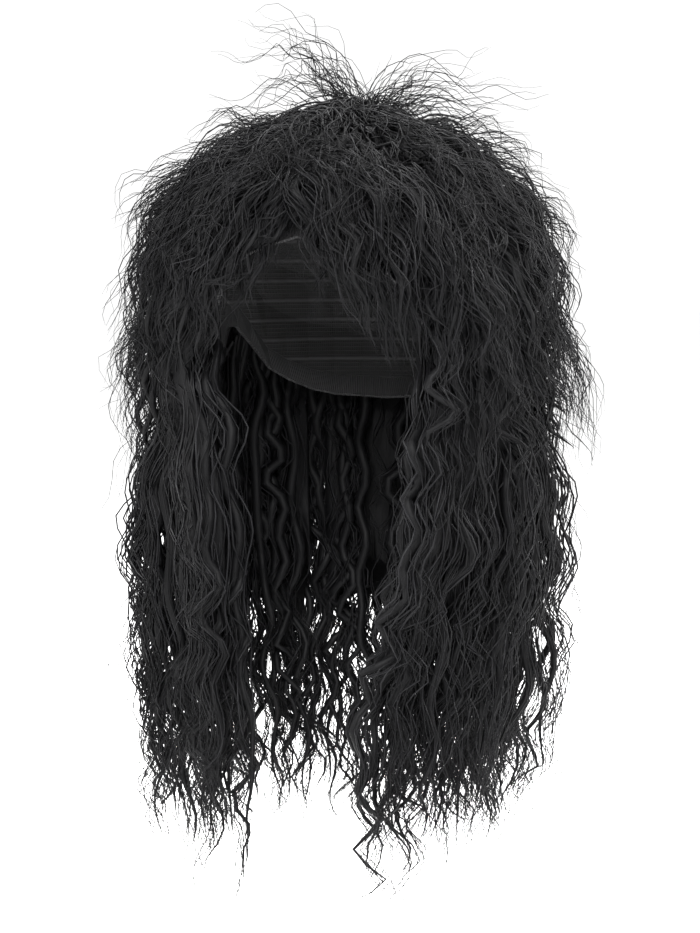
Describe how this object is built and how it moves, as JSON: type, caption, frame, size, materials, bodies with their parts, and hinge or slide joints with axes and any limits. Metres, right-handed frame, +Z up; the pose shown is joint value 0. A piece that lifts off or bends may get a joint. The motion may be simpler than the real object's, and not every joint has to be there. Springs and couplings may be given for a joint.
{
  "type": "mullet wig",
  "caption": "Long mullet wig of teased, crimped hair on a net cap: raised crown with upright wisps, parted fringe, layered sides, long lengths.",
  "frame": {"origin": "the top of the wearer's head, where the inside of the cap sits on it, on the head's axis", "axes": "+Z up, the face looks along -Y, +X to the wearer's left"},
  "size_m": [0.3006, 0.2777, 0.5388],
  "materials": {
    "hair": "crimped black synthetic hair with a soft sheen",
    "net": "black stretch net with sewn hair wefts",
    "elastic": "black ribbed elastic tape"
  },
  "bodies": {
    "root": {"wig_cap": "net", "edge_band": "elastic", "crown_spray": "hair", "crown_hair": "hair", "fringe_left": "hair", "fringe_right": "hair", "side_layer_left": "hair", "side_layer_right": "hair", "back_layer_left": "hair", "back_layer_right": "hair", "length_front_left": "hair", "length_back_left": "hair", "length_back": "hair", "length_back_right": "hair", "length_front_right": "hair"}
  },
  "joints": []
}
